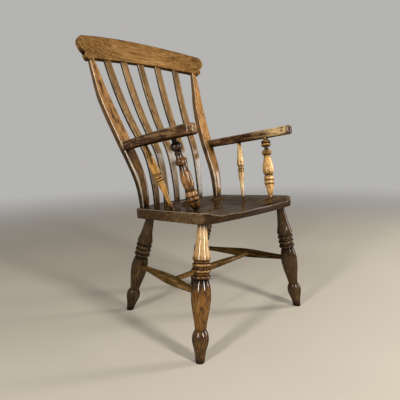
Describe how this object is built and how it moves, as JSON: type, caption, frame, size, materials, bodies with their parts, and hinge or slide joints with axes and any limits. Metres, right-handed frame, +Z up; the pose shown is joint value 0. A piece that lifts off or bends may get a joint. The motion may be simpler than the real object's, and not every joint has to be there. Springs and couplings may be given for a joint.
{
  "type": "windsor chair",
  "caption": "Wooden lath-back armchair with a bowed comb, dished plank seat, flat arms on turned supports and splayed turned legs joined by stretchers.",
  "frame": {"origin": "on the floor, in the middle of the chair's width and depth", "axes": "+Z up, -Y to the chair's front, +X to the sitter's left"},
  "size_m": [0.618, 0.6394, 1.0596],
  "materials": {
    "seat_elm": "dark waxed elm, glossy where it is sat on",
    "leg_wood": "polished dark brown with worn golden fronts",
    "stretcher_wood": "dull dark brown",
    "stile_wood": "polished golden brown, dark in the corners",
    "lath_wood": "polished golden brown, dark edges",
    "comb_wood": "drier golden brown, with fine grain along it",
    "arm_wood": "handled dark brown, shiny at the front",
    "support_wood": "polished dark brown, black in the grooves",
    "spindle_wood": "polished honey brown",
    "peg_wood": "dull end grain",
    "screw_steel": "dull old steel"
  },
  "bodies": {
    "root": {"seat": "seat_elm", "front_leg_right": "leg_wood", "front_leg_left": "leg_wood", "back_leg_right": "leg_wood", "back_leg_left": "leg_wood", "side_stretcher_right": "stretcher_wood", "side_stretcher_left": "stretcher_wood", "cross_stretcher": "stretcher_wood", "back_stile_right": "stile_wood", "back_stile_left": "stile_wood", "back_lath_1": "lath_wood", "back_lath_2": "lath_wood", "back_lath_3": "lath_wood", "back_lath_4": "lath_wood", "back_lath_5": "lath_wood", "comb": "comb_wood", "arm_right": "arm_wood", "arm_left": "arm_wood", "arm_support_right": "support_wood", "arm_support_left": "support_wood", "arm_spindle_right": "spindle_wood", "arm_spindle_left": "spindle_wood", "comb_pegs": "peg_wood", "arm_screws": "screw_steel"}
  },
  "joints": []
}
